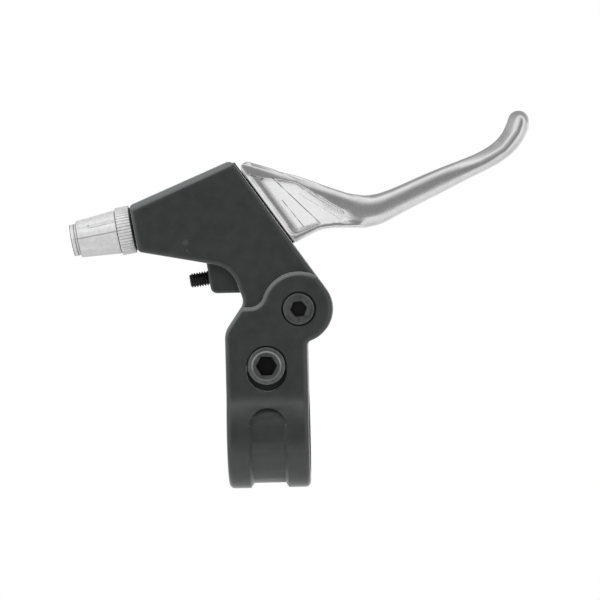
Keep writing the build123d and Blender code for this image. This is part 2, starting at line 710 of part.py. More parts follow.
def reach_screw():
    """Set screw with a hexagon socket at its outer end."""
    screw = Cylinder(REACH_RADIUS, REACH_LENGTH, align=(Align.CENTER, Align.CENTER, Align.MIN))
    screw = chamfer(screw.edges().filter_by(GeomType.CIRCLE), THREAD_CHAMFER)
    screw -= extrude(RegularPolygon(REACH_KEY / 2 * HEX_CORNER, 6), amount=REACH_KEY)
    return axis_plane(REACH_END, REACH_IN) * screw


def return_spring():
    """Coil round the bush, with one bent leg into the lever and one into the rear cheek."""
    turns = Helix(COIL_PITCH, COIL_PITCH * COIL_TURNS, COIL_RADIUS)
    spring = sweep(Plane(turns @ 0, z_dir=turns % 0) * Circle(WIRE_RADIUS), path=turns)
    start_drop = COIL_START_Y - RECESS_Y + SPRING_LEG
    end_rise = SLOT_HALF + SPRING_LEG - COIL_START_Y - COIL_PITCH * COIL_TURNS
    legs = [(turns @ 0, (turns % 0) * -1, -start_drop), (turns @ 1, turns % 1, end_rise)]
    for root, along, rise in legs:
        corner = root + along * SPRING_BEND
        bend = FilletPolyline(root, corner, corner + Vector(0, 0, rise), radius=SPRING_BEND_RADIUS)
        spring += sweep(Plane(root, z_dir=along) * Circle(WIRE_RADIUS), path=bend)
    upright = Plane(origin=(PIVOT_X, COIL_START_Y, PIVOT_Z), x_dir=(1, 0, 0), z_dir=(0, 1, 0))
    return upright * spring


PIECES = [
    bracket,
    lever,
    pivot_bolt,
    pivot_nut,
    pivot_bush,
    return_spring,
    clamp_bolt,
    clamp_nut,
    barrel_adjuster,
    lock_ring,
    reach_screw,
]

os.makedirs("parts", exist_ok=True)
for piece in PIECES:
    export_step(piece(), f"parts/{piece.__name__}.step")
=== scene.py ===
"""Bicycle brake lever in a plain studio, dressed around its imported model."""

import json
import math

import bpy
import numpy as np
from mathutils import Matrix, Vector


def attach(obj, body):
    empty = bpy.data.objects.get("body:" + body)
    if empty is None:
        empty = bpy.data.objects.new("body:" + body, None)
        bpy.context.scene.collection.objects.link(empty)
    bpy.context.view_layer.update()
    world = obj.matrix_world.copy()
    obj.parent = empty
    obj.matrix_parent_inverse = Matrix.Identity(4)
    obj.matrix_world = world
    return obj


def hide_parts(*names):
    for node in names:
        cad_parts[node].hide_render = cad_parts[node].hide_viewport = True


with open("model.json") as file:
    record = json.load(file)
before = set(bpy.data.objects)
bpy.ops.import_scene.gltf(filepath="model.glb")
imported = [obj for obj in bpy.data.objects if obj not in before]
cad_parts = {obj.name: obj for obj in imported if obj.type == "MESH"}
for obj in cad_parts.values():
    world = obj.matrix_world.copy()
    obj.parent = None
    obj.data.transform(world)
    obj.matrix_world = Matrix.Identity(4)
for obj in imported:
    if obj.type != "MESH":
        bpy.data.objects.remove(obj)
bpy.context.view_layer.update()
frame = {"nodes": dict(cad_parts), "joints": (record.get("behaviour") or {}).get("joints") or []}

bpy.ops.object.select_all(action="DESELECT")


# Bracket: one moulding in glass-filled resin, charcoal all through, with a fine grain from the mould.
# It carries the clamp, the pivot and the cable housing, and the edges of its slots are lightly broken.
# Faces turned up towards the light are painted paler, a painted highlight, and the mould's gates left two
# pale marks.
BRACKET_EDGE = 0.00030
BRACKET_CORNER = 35
SAME_POINT = 1e-6
RESIN_MOTTLE = (330.0, 4.0)
RESIN_TONES = [(0.35, (0.0130, 0.0157, 0.0151)), (0.65, (0.0200, 0.0232, 0.0224))]
RESIN_GRAIN = (2600.0, 3.0)
RESIN_BUMP = (0.22, 0.00006)
RESIN_ROUGH = (0.36, 0.48)
RESIN_SHINE = 0.85
RESIN_SHEEN = 0.9
RESIN_SHEEN_ROUGH = 0.30
TOP_LIGHT_PAINT = (0.125, 0.132, 0.134)
TOP_LIGHT_FROM = (-0.47, 0.0, 0.88)
TOP_LIGHT_FACING = (0.20, 0.65)
TOP_LIGHT_SHARES = (0.15, 1.0)
TOP_LIGHT_HEIGHTS = (0.014, 0.026)
GATE_MARKS = [((-0.0210, 0.0, 0.0521), 0.0011), ((-0.0206, 0.0, 0.0499), 0.0005)]
GATE_PALE = (0.070, 0.076, 0.077)
GATE_SHARES = (0.45, 0.0)
GATE_CORE = 0.3
NOISE_SPAN = (0.3, 0.7)
RISING = (0.0, 1.0)
FALLING = (1.0, 0.0)
bracket = frame["nodes"]["bracket"]


def new_material(name):
    """Empty material with one surface shader: the material, its nodes, its links and the shader."""
    material = bpy.data.materials.new(name)
    material.use_nodes = True
    nodes = material.node_tree.nodes
    return material, nodes, material.node_tree.links, nodes["Principled BSDF"]


def noise_on_object(nodes, links, scale, detail):
    """Noise on the piece's own coordinates, with its scale in cells to the metre."""
    place = nodes.new("ShaderNodeTexCoord")
    noise = nodes.new("ShaderNodeTexNoise")
    noise.inputs["Scale"].default_value = scale
    noise.inputs["Detail"].default_value = detail
    links.new(place.outputs["Object"], noise.inputs["Vector"])
    return noise.outputs["Fac"]


def ramp_between(nodes, links, source, stops):
    """Colour ramp over a number, with its stops as place and colour."""
    ramp = nodes.new("ShaderNodeValToRGB")
    elements = ramp.color_ramp.elements
    while len(elements) < len(stops):
        elements.new(0.5)
    for element, (place, colour) in zip(elements, stops):
        element.position = place
        element.color = (*colour, 1.0)
    links.new(source, ramp.inputs["Fac"])
    return ramp.outputs["Color"]


def values_between(nodes, links, source, values, span=NOISE_SPAN):
    """Number that runs between two values while a source runs over a span."""
    spread = nodes.new("ShaderNodeMapRange")
    spread.inputs["From Min"].default_value, spread.inputs["From Max"].default_value = span
    spread.inputs["To Min"].default_value, spread.inputs["To Max"].default_value = values
    links.new(source, spread.inputs["Value"])
    return spread.outputs["Result"]


def product_of(nodes, links, one, other):
    """Product of two numbers."""
    product = nodes.new("ShaderNodeMath")
    product.operation = "MULTIPLY"
    links.new(one, product.inputs[0])
    links.new(other, product.inputs[1])
    return product.outputs["Value"]


def blend_of(nodes, links, share, first, second):
    """First colour blended by a share into a second one, which is a plain colour or comes from a node."""
    blend = nodes.new("ShaderNodeMixRGB")
    links.new(share, blend.inputs["Fac"])
    links.new(first, blend.inputs["Color1"])
    if isinstance(second, tuple):
        blend.inputs["Color2"].default_value = (*second, 1.0)
    else:
        links.new(second, blend.inputs["Color2"])
    return blend.outputs["Color"]


def place_on_object(nodes, links):
    """X, Y and Z of the piece's own coordinates."""
    place = nodes.new("ShaderNodeTexCoord")
    parts = nodes.new("ShaderNodeSeparateXYZ")
    links.new(place.outputs["Object"], parts.inputs["Vector"])
    return parts.outputs


def side_distance(nodes, links, middle):
    """Distance in the side view from a point in the middle of the part's depth."""
    place = nodes.new("ShaderNodeTexCoord")
    flat = nodes.new("ShaderNodeVectorMath")
    flat.operation = "MULTIPLY"
    flat.inputs[1].default_value = (1.0, 0.0, 1.0)
    links.new(place.outputs["Object"], flat.inputs[0])
    away = nodes.new("ShaderNodeVectorMath")
    away.operation = "DISTANCE"
    away.inputs[1].default_value = middle
    links.new(flat.outputs["Vector"], away.inputs[0])
    return away.outputs["Value"]


def roughen(nodes, links, shader, source, strength, height):
    """Fine unevenness of a surface, as a bump from a noise."""
    bump = nodes.new("ShaderNodeBump")
    bump.inputs["Strength"].default_value = strength
    bump.inputs["Distance"].default_value = height
    links.new(source, bump.inputs["Height"])
    links.new(bump.outputs["Normal"], shader.inputs["Normal"])


def dress(piece, material):
    """Give a piece one material all over."""
    piece.data.materials.clear()
    piece.data.materials.append(material)


def break_edges(piece, width, corner):
    """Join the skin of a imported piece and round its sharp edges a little."""
    weld = piece.modifiers.new("join_skin", "WELD")
    weld.merge_threshold = SAME_POINT
    bevel = piece.modifiers.new("break_edges", "BEVEL")
    bevel.width = width
    bevel.segments = 3
    bevel.limit_method = "ANGLE"
    bevel.angle_limit = math.radians(corner)
    bevel.harden_normals = True


charcoal_resin, nodes, links, shader = new_material("charcoal_resin")
mottle = noise_on_object(nodes, links, *RESIN_MOTTLE)
tint = ramp_between(nodes, links, mottle, RESIN_TONES)
# Painted highlight: faces turned up and to the left, towards the light from above, are blended to a paler
# grey, more so higher up
facing = nodes.new("ShaderNodeTexCoord")
upward = nodes.new("ShaderNodeVectorMath")
upward.operation = "DOT_PRODUCT"
upward.inputs[1].default_value = TOP_LIGHT_FROM
links.new(facing.outputs["Normal"], upward.inputs[0])
turned_up = values_between(nodes, links, upward.outputs["Value"], RISING, TOP_LIGHT_FACING)
high_up = values_between(nodes, links, place_on_object(nodes, links)["Z"], TOP_LIGHT_SHARES, TOP_LIGHT_HEIGHTS)
tint = blend_of(nodes, links, product_of(nodes, links, turned_up, high_up), tint, TOP_LIGHT_PAINT)
for middle, radius in GATE_MARKS:
    away = side_distance(nodes, links, middle)
    mark = values_between(nodes, links, away, GATE_SHARES, (GATE_CORE * radius, radius))
    tint = blend_of(nodes, links, mark, tint, GATE_PALE)
links.new(tint, shader.inputs["Base Color"])
grain = noise_on_object(nodes, links, *RESIN_GRAIN)
links.new(values_between(nodes, links, grain, RESIN_ROUGH), shader.inputs["Roughness"])
shader.inputs["Specular IOR Level"].default_value = RESIN_SHINE
shader.inputs["Sheen Weight"].default_value = RESIN_SHEEN
shader.inputs["Sheen Roughness"].default_value = RESIN_SHEEN_ROUGH
roughen(nodes, links, shader, grain, *RESIN_BUMP)
dress(bracket, charcoal_resin)
break_edges(bracket, BRACKET_EDGE, BRACKET_CORNER)


# Lip at the top of the mouth: the part of the same moulding that the head of the lever rests under. It
# stands a little out of the mouth between the two cheeks and closes the gap above the lever's head.
joints = {joint["name"]: joint for joint in frame["joints"]}
PIVOT = Vector(joints["lever_pivot"]["pos_m"])
MOUTH_ANGLE = math.radians(35)
MOUTH_FRAME = Matrix.Translation(PIVOT) @ Matrix.Rotation(-MOUTH_ANGLE, 4, "Y")
LIP_SIZE = (0.0012, 0.0088, 0.0060)
LIP_MIDDLE = (0.00882, 0.0, 0.0392)
LIP_ROUND = 0.0004
SQUARE_CORNER = 40
SMOOTH_BELOW = math.radians(30)


def only(piece):
    """Select one piece and make it the active one."""
    bpy.ops.object.select_all(action="DESELECT")
    piece.select_set(True)
    bpy.context.view_layer.objects.active = piece


def finish_with(piece, modifier):
    """Apply a modifier of a piece."""
    only(piece)
    bpy.ops.object.modifier_apply(modifier=modifier.name)


def block(size, middle):
    """Block of a size round a middle point."""
    bpy.ops.object.select_all(action="DESELECT")
    bpy.ops.mesh.primitive_cube_add(size=1.0, location=middle, scale=size)
    bpy.ops.object.transform_apply(location=True, rotation=True, scale=True)
    return bpy.context.active_object


def place_piece(piece, matrix):
    """Put a piece in its place, with the place in its mesh."""
    piece.matrix_world = matrix
    only(piece)
    bpy.ops.object.transform_apply(location=True, rotation=True, scale=True)


def round_edges(piece, width, corner, steps=2):
    """Round the sharp edges of a new piece and shade the rest smooth."""
    bevel = piece.modifiers.new("round_edges", "BEVEL")
    bevel.width = width
    bevel.segments = steps
    bevel.limit_method = "ANGLE"
    bevel.angle_limit = math.radians(corner)
    finish_with(piece, bevel)
    bpy.ops.object.shade_smooth_by_angle(angle=SMOOTH_BELOW)


lip = block(LIP_SIZE, LIP_MIDDLE)
lip.name = "mouth_lip"
place_piece(lip, MOUTH_FRAME)
round_edges(lip, LIP_ROUND, SQUARE_CORNER, steps=4)
dress(lip, charcoal_resin)
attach(lip, "bracket_body")


# Clamp and pivot screws: socket screws in black oxide steel, with zinc-plated nuts in the rear of the
# bracket. Round the pivot screw sit the steel bush that the lever turns on and the return spring.
SCREW_EDGE = 0.00012
SCREW_CORNER = 15
CLAMP_AXIS = Vector((0.0, 0.0, 0.0186))
OXIDE_SCUFF = (900.0, 4.0)
OXIDE_TONES = [(0.30, (0.125, 0.127, 0.130)), (0.72, (0.190, 0.192, 0.195))]
OXIDE_ROUGH = (0.40, 0.54)
OXIDE_GRAIN = (4200.0, 2.0)
OXIDE_BUMP = (0.12, 0.00003)
CREASE_HIGHLIGHT_PAINT = (0.88, 0.88, 0.88)
BLACK = (0.0, 0.0, 0.0)
CREASE_HIGHLIGHT_HALF = 0.0004
CREASE_HIGHLIGHT_UPPER = (0.3, 1.0)
CREASE_HIGHLIGHT_RISE = 0.002
SOCKET_SHADE_PAINT = (0.035, 0.035, 0.036)
SOCKET_EDGE = 0.0001
SOCKET_FADE = 0.0012
ZINC_BLOOM = (700.0, 4.0)
ZINC_TONES = [(0.30, (0.52, 0.52, 0.53)), (0.70, (0.66, 0.66, 0.65))]
ZINC_ROUGH = (0.28, 0.42)


def blackened_steel(name, axis, highlight_radius, showing, socket_radius, socket_y):
    """Black oxide finish of a screw along Y, with a painted highlight on the crease of its head, strongest
    on its upper side, and painted shade in its socket.
    """
    material, nodes, links, shader = new_material(name)
    scuff = noise_on_object(nodes, links, *OXIDE_SCUFF)
    tint = ramp_between(nodes, links, scuff, OXIDE_TONES)
    parts = place_on_object(nodes, links)
    radius = side_distance(nodes, links, axis)
    # Painted highlight: a pale ring on the crease of the head, weighted to its upper side where the light
    # falls from above
    crease = (highlight_radius - CREASE_HIGHLIGHT_HALF, highlight_radius + CREASE_HIGHLIGHT_HALF)
    across = values_between(nodes, links, radius, RISING, crease)
    ring = ramp_between(nodes, links, across, [(0.1, BLACK), (0.5, (showing, showing, showing)), (0.9, BLACK)])
    rise = (axis.z - CREASE_HIGHLIGHT_RISE, axis.z + CREASE_HIGHLIGHT_RISE)
    upper = values_between(nodes, links, parts["Z"], CREASE_HIGHLIGHT_UPPER, rise)
    tint = blend_of(nodes, links, product_of(nodes, links, ring, upper), tint, CREASE_HIGHLIGHT_PAINT)
    # Painted shade: the socket is darkened inside, more so deeper in
    inside = values_between(nodes, links, radius, FALLING, (socket_radius, socket_radius + SOCKET_EDGE))
    deep = values_between(nodes, links, parts["Y"], RISING, (socket_y, socket_y + SOCKET_FADE))
    tint = blend_of(nodes, links, product_of(nodes, links, inside, deep), tint, SOCKET_SHADE_PAINT)
    links.new(tint, shader.inputs["Base Color"])
    links.new(values_between(nodes, links, scuff, OXIDE_ROUGH), shader.inputs["Roughness"])
    shader.inputs["Metallic"].default_value = 1.0
    rub = noise_on_object(nodes, links, *OXIDE_GRAIN)
    roughen(nodes, links, shader, rub, *OXIDE_BUMP)
    return material


def mottled(name, cells, tones, rough, metallic):
    """Plain finish whose tone and gloss both follow one noise."""
    material, nodes, links, shader = new_material(name)
    noise = noise_on_object(nodes, links, *cells)
    links.new(ramp_between(nodes, links, noise, tones), shader.inputs["Base Color"])
    links.new(values_between(nodes, links, noise, rough), shader.inputs["Roughness"])
    shader.inputs["Metallic"].default_value = metallic
    return material


plated_steel = mottled("plated_steel", ZINC_BLOOM, ZINC_TONES, ZINC_ROUGH, 1.0)
clamp_steel = blackened_steel("black_steel_clamp", CLAMP_AXIS, highlight_radius=0.00378, showing=0.75,
                              socket_radius=0.0030, socket_y=-0.0114)
pivot_steel = blackened_steel("black_steel_pivot", PIVOT, highlight_radius=0.00395, showing=0.1,
                              socket_radius=0.0025, socket_y=-0.0103)
for node, steel in (("clamp_bolt", clamp_steel), ("pivot_bolt", pivot_steel)):
    dress(frame["nodes"][node], steel)
    break_edges(frame["nodes"][node], SCREW_EDGE, SCREW_CORNER)
for node in ("pivot_nut", "pivot_bush", "return_spring", "clamp_nut"):
    dress(frame["nodes"][node], plated_steel)


# Lever: one casting in aluminium alloy. Bar and blade are tumbled and polished, so that every edge is
# soft, and the panels of the root keep the dull skin of the blasting. It turns on the pivot screw.
CASTING_SKIN = 0.00020
CASTING_RUBBED = 9
CASTING_KEPT = 0.42
RUB_SHARE = 0.5
MILLIMETRE = 0.001

# Bar, in millimetres from the pivot: its top line and where that is lowered, its bright upper face, its
# ridge and the flank below the ridge. The pairs are a place along X and a size there.
BAR_TILT = math.radians(17.8)
TOP_LINE = [
    (-16, 40.5), (-12.9, 39.64), (-6.7, 37.81), (-0.5, 35.97), (5.6, 33.8), (10.6, 32.1), (15.5, 30.35),
    (19.3, 30.0), (23, 30.9),
]
LOWERED = [(0, 0), (5.6, 0.45), (7.5, 0.65), (10.6, 0.72), (13.8, 0.75), (16.5, 0.35), (19.3, 0)]
LOWERED_FADE = (0.4, 4.0)
FACE_WIDTH = [(-15, 0.6), (-9, 0.9), (-2, 1.5), (4, 1.8), (10, 1.8), (15.5, 1.75), (20, 2.4)]
FACE_SLOPE = 0.84
TOP_EDGE = 0.8
TOP_ROUND = 1.1
RIDGE_HALF = [(-15, 5.75), (-10, 5.7), (-4, 5.35), (0, 5.2), (4, 5.6), (8, 5.9), (14, 5.95), (19, 5.8)]
RIDGE_ROUND = 0.8
RIDGE_RAISED = 0.3
FLANK_WIDTH = [(-10, 2.2), (-4, 0.8), (0, 0.3), (4, 1.0), (8, 2.0), (12, 3.0), (16, 4.1), (19, 4.6)]
FLANK_END = [(-10, 1.2), (-4, 1.0), (0, 0.9), (4, 1.1), (8, 1.4), (12, 1.6), (16, 1.8), (19, 1.9)]
FLANK_SLOPE = 0.09
FLANK_FALL = 1.6

# Root, in millimetres from the pivot: the web, the raised pad, the flange along the bracket's mouth and
# the groove beside it. What is out is measured square to the mouth.
ROOT_OUT = 9.55
ROOT_END = 21.5
ROOT_FOOT = [(-1, 19.9), (2, 21.4), (6.2, 22.7), (18, 23.8)]
FOOT_FADE = (0.0, 0.7)
RELIEF_END = (17, 21)
SIDE_FACING = (0.05, 0.5)
STEP_UNDER_TOP = (0.3, 0.9)
STEP_HALF = 2.5
WEB_HALF = 4.6
CREASE_ROUND = 0.45
PAD_RISE = 0.6
PAD_OUTLINE = [(-1.0, 21.2), (6.3, 22.9), (-6.6, 35.7), (-12.2, 36.2)]
PAD_STEP = (-0.15, 0.15)
PAD_FOOT_SLOPE = 0.466
PAD_FOOT = (20.2, 21.4)
FLANGE_END = 10.15
FLANGE_FADE = (FLANGE_END - 0.1, FLANGE_END + 0.5)
FLANGE_RISE = 0.5
GROOVE_OUT = (10.25, 12.8)
GROOVE_DEPTH = 0.38

# Blade, in millimetres from the pivot: the middle line of its hook with half its width, how its depth
# shrinks towards the upper edge, its round tip and the belly under the root.
HOOK_LINE = [
    (31.1, 30.2, 3.4), (39.5, 34.0, 3.1), (50.1, 38.5, 2.6), (55.8, 41.9, 2.75), (59.3, 46.2, 3.0),
    (61.3, 52.2, 2.75), (62.3, 55.4, 2.75),
]
HOOK_DEPTH = [(-1.0, 0.96), (-0.4, 1.0), (0.1, 0.90), (0.4, 0.73), (0.7, 0.56), (1.0, 0.44)]
HOOK_START = (38, 57)
TIP_START = 50
TIP_POINT = HOOK_LINE[-2][:2]
TIP_ANGLE = math.radians(72)
TIP_RADIUS = 2.8
TIP_BACK = 3.1
TIP_DOME = (-0.6, 2.4)
TIP_THINNED = 0.85
BELLY_LINE = [(10, 22.1), (11.6, 22.4), (14.7, 23.2), (17.2, 23.8), (18.1, 22.8), (19.1, 22.6)]
BELLY_DOWN = [(10, 0), (11.6, 0.15), (14.7, 0.6), (17.2, 1.0), (18.1, 0.4), (19.1, 0)]
BELLY_FADE = (0.3, 2.8)
BLENDED = 160
BLENDED_SPOTS = [
    # middle, inner and outer radius, and share of the smoothing
    ((17.5, 24.5), (3.2, 6.0), 1.0),
    ((60.6, 50.2), (2.5, 4.5), 0.3),
]


def merged_copy(node, name):
    """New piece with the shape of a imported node, its loose triangles joined."""
    piece = bpy.data.objects.new(name, frame["nodes"][node].data.copy())
    bpy.context.scene.collection.objects.link(piece)
    only(piece)
    bpy.ops.object.mode_set(mode="EDIT")
    bpy.ops.mesh.select_all(action="SELECT")
    bpy.ops.mesh.remove_doubles(threshold=SAME_POINT)
    bpy.ops.object.mode_set(mode="OBJECT")
    return piece


def points_of(piece):
    """Points of a piece and their normals, in millimetres from the pivot."""
    count = len(piece.data.vertices)
    points = np.empty(3 * count)
    piece.data.vertices.foreach_get("co", points)
    normals = np.empty(3 * count)
    piece.data.vertex_normals.foreach_get("vector", normals)
    return (points.reshape(-1, 3) - np.array(PIVOT)) / MILLIMETRE, normals.reshape(-1, 3)


def level(x, pairs):
    """Size at each place, read off pairs of place and size."""
    return np.interp(x, *zip(*pairs))


def ease(value, first, last):
    """Share from 0 at the first value to 1 at the last one, soft at both ends."""
    share = np.clip((value - first) / (last - first), 0.0, 1.0)
    return share * share * (3 - 2 * share)


def soft_max(one, other, width):
    """The larger of two heights, with a round where they meet."""
    return (one + other + np.sqrt((one - other) ** 2 + width**2)) / 2


def depth_inside(x, z, outline):
    """How far the points of the side view lie inside an outline without hollows, less than 0 outside it."""
    nearest = np.full(x.shape, np.inf)
    for (x0, z0), (x1, z1) in zip(outline, outline[1:] + outline[:1]):
        away = ((x1 - x0) * (z - z0) - (z1 - z0) * (x - x0)) / math.hypot(x1 - x0, z1 - z0)
        nearest = np.minimum(nearest, away)
    return nearest


def out_of_mouth(x, z):
    """How far the points of the side view lie from the pivot, square to the bracket's mouth."""
    return x * math.cos(MOUTH_ANGLE) + z * math.sin(MOUTH_ANGLE)


def under_top(x, z):
    """How far the points of the side view lie under the bar's top line."""
    return (level(x, TOP_LINE) - z) * math.cos(BAR_TILT)


def bar_relief(x, z):
    """Half depth of the bar over the side view: upper face, ridge and flank."""
    below = under_top(x, z) - level(x, FACE_WIDTH)
    down = soft_max(below, 0.0, RIDGE_ROUND)
    width = level(x, FLANK_WIDTH)
    fall = FLANK_SLOPE * down + FLANK_FALL * ease(down, width, width + level(x, FLANK_END))
    fall += FACE_SLOPE * soft_max(-below, 0.0, RIDGE_ROUND)
    fall += TOP_ROUND * np.maximum(TOP_EDGE - under_top(x, z), 0.0) ** 2
    return level(x, RIDGE_HALF) + RIDGE_RAISED - fall


def groove_share(x, z):
    """Place of the points across the groove, from 0 beside the flange to 1 at its far side."""
    return np.clip((out_of_mouth(x, z) - GROOVE_OUT[0]) / (GROOVE_OUT[1] - GROOVE_OUT[0]), 0.0, 1.0)


def panel_relief(x, z):
    """Half depth of the panels over the side view: flange, groove, pad and web."""
    share = groove_share(x, z)
    panel = WEB_HALF + PAD_RISE * ease(depth_inside(x, z, PAD_OUTLINE), *PAD_STEP)
    flange = 1 - ease(out_of_mouth(x, z), *FLANGE_FADE)
    beside = PAD_RISE - GROOVE_DEPTH * np.sin(math.pi * share) + FLANGE_RISE * flange
    above_foot = np.maximum(ease(z + PAD_FOOT_SLOPE * x, *PAD_FOOT), flange)
    return np.where(share < 1, WEB_HALF + beside * above_foot, panel)


def hook_places(x, z):
    """How far the points of the blade lie towards its upper edge, from -1 to 1."""
    nearest = np.full(x.shape, np.inf)
    share = np.zeros(x.shape)
    for (x0, z0, h0), (x1, z1, h1) in zip(HOOK_LINE, HOOK_LINE[1:]):
        run_x, run_z = x1 - x0, z1 - z0
        length = math.hypot(run_x, run_z)
        step = np.clip(((x - x0) * run_x + (z - z0) * run_z) / length**2, 0.0, 1.0)
        off_x, off_z = x - x0 - step * run_x, z - z0 - step * run_z
        away = np.hypot(off_x, off_z)
        upward = (off_z * run_x - off_x * run_z) / length / (h0 + step * (h1 - h0))
        share = np.where(away < nearest, upward, share)
        nearest = np.minimum(away, nearest)
    return share


casting = merged_copy("lever", "lever_casting")
casting.data.remesh_voxel_size = CASTING_SKIN
casting.data.remesh_voxel_adaptivity = 0.0
casting.data.use_remesh_preserve_attributes = False
bpy.ops.object.voxel_remesh()

places, normals = points_of(casting)
x, y, z = places.T.copy()
lowered = level(x, LOWERED)
z -= lowered * (1 - ease(level(x, TOP_LINE) + lowered - z, *LOWERED_FADE))
above_foot = z - level(x, ROOT_FOOT)
on_step = ease(under_top(x, z), *STEP_UNDER_TOP) * (np.abs(y) > STEP_HALF)
held = np.maximum(ease(np.abs(normals[:, 1]), *SIDE_FACING), on_step)
held *= (out_of_mouth(x, z) > ROOT_OUT) & (x < ROOT_END)
held *= ease(above_foot, *FOOT_FADE) * (1 - ease(x, *RELIEF_END))
relief = soft_max(bar_relief(x, z), panel_relief(x, z), CREASE_ROUND)
depth = np.abs(y) + held * (relief - np.abs(y))
depth *= 1 + ease(x, *HOOK_START) * (level(hook_places(x, z), HOOK_DEPTH) - 1)
tip_x = TIP_POINT[0] - TIP_BACK * math.cos(TIP_ANGLE)
tip_z = TIP_POINT[1] - TIP_BACK * math.sin(TIP_ANGLE)
past = (x - tip_x) * math.cos(TIP_ANGLE) + (z - tip_z) * math.sin(TIP_ANGLE)
reach = np.hypot(x - tip_x, z - tip_z)
outside = (x > TIP_START) & (past > 0) & (reach > TIP_RADIUS)
pull = np.where(outside, TIP_RADIUS / np.maximum(reach, TIP_RADIUS), 1.0)
dome = (x > TIP_START) * ease(past, *TIP_DOME) * np.minimum(reach / TIP_RADIUS, 1.0) ** 2
low = 1 - ease(z - level(x, BELLY_LINE), *BELLY_FADE)
places[:, 0] = tip_x + (x - tip_x) * pull
places[:, 1] = np.sign(y) * depth * np.sqrt(1 - TIP_THINNED * dome)
places[:, 2] = tip_z + (z - tip_z) * pull - low * level(x, BELLY_DOWN)
casting.data.vertices.foreach_set("co", (places * MILLIMETRE + np.array(PIVOT)).ravel())
casting.data.update()

blended = np.zeros(x.shape)
for (spot_x, spot_z), radii, share in BLENDED_SPOTS:
    blended = np.maximum(blended, share * (1 - ease(np.hypot(x - spot_x, z - spot_z), *radii)))
joint = casting.vertex_groups.new(name="joint")
for index in np.flatnonzero(blended > 0):
    joint.add([int(index)], float(blended[index]), "REPLACE")
blend_joint = casting.modifiers.new("blend_joint", "SMOOTH")
blend_joint.factor = RUB_SHARE
blend_joint.iterations = BLENDED
blend_joint.vertex_group = "joint"
finish_with(casting, blend_joint)
rub_down = casting.modifiers.new("rub_down", "SMOOTH")
rub_down.factor = RUB_SHARE
rub_down.iterations = CASTING_RUBBED
finish_with(casting, rub_down)
thin_out = casting.modifiers.new("thin_out", "DECIMATE")
thin_out.ratio = CASTING_KEPT
finish_with(casting, thin_out)
bpy.ops.object.shade_smooth(keep_sharp_edges=False)

# Skin of the casting: where it is dull in millimetres from the pivot, its tones, and thin dark lines, the
# last of them painted shade along the step of the raised pad
PANEL_FADE = (0.0, 0.55)
PANEL_FACING = (0.75, 0.95)
PANEL_END = (13, 19)
PAD_EDGE = (0.1, 0.3)
PAD_EDGE_SHINE = 0.5
GROOVE_FAR = (0.72, 1.0)
GROOVE_NEAR = (0.0, 0.2)
GROOVE_NEAR_DULL = 0.15
FLANGE_START = (9.2, 9.4)
FLANGE_EDGE = (FLANGE_END - 0.15, FLANGE_END + 0.15)
FLANGE_SIDE = (4.0, 4.6)
FLANGE_LAST = 12
FLANGE_DULL = 0.9
CASTING_CLOUD = (420.0, 5.0)
CASTING_SAND = (2300.0, 4.0)
CASTING_SPECK = (3600.0, 3.0)
CASTING_BUMP = (0.09, 0.00003)
POLISHED_TONES = [(0.32, (0.82, 0.82, 0.83)), (0.68, (0.91, 0.91, 0.91))]
POLISHED_ROUGH = (0.22, 0.31)
BLASTED_TONES = [(0.32, (0.87, 0.87, 0.88)), (0.68, (0.97, 0.97, 0.97))]
BLASTED_ROUGH = (0.52, 0.66)
BLASTED_METAL = (1.0, 0.3)
DARK_LINES = [
    # first and last point of the line, width and darkness
    ((0.0050, 0.0, 0.0631), (0.0109, 0.0, 0.0555), 0.00022, 0.9),
    ((0.0095, 0.0, 0.0647), (0.0211, 0.0, 0.0572), 0.00014, 0.5),
    # painted shade along the right edge of the raised pad, where its step is in shade
    ((0.0023, 0.0, 0.0693), (0.0152, 0.0, 0.0565), 0.00024, 0.8),
]
DARK_LINE_COLOUR = (0.10, 0.10, 0.11)
DARK_LINE_FAINT = 0.2
DARK_LINE_BREAKS = (0.40, 0.50)
DARK_LINE_END = 0.0003
DARK_LINE_SOFT = (0.3, 0.6)


def line_mask(nodes, links, first, last, width):
    """1 on a thin straight line of the side view, 0 elsewhere."""
    run = Vector(last) - Vector(first)
    place = nodes.new("ShaderNodeTexCoord")
    along = nodes.new("ShaderNodeMapping")
    along.vector_type = "TEXTURE"
    along.inputs["Location"].default_value = first
    along.inputs["Rotation"].default_value = (0.0, math.atan2(-run.z, run.x), 0.0)
    links.new(place.outputs["Object"], along.inputs["Vector"])
    parts = nodes.new("ShaderNodeSeparateXYZ")
    links.new(along.outputs["Vector"], parts.inputs["Vector"])
    off = nodes.new("ShaderNodeMath")
    off.operation = "ABSOLUTE"
    links.new(parts.outputs["Z"], off.inputs[0])
    edge = [share * width for share in DARK_LINE_SOFT]
    thin = values_between(nodes, links, off.outputs["Value"], FALLING, edge)
    begun = values_between(nodes, links, parts.outputs["X"], RISING, (0.0, DARK_LINE_END))
    end = (run.length - DARK_LINE_END, run.length)
    ended = values_between(nodes, links, parts.outputs["X"], FALLING, end)
    return product_of(nodes, links, product_of(nodes, links, thin, begun), ended)


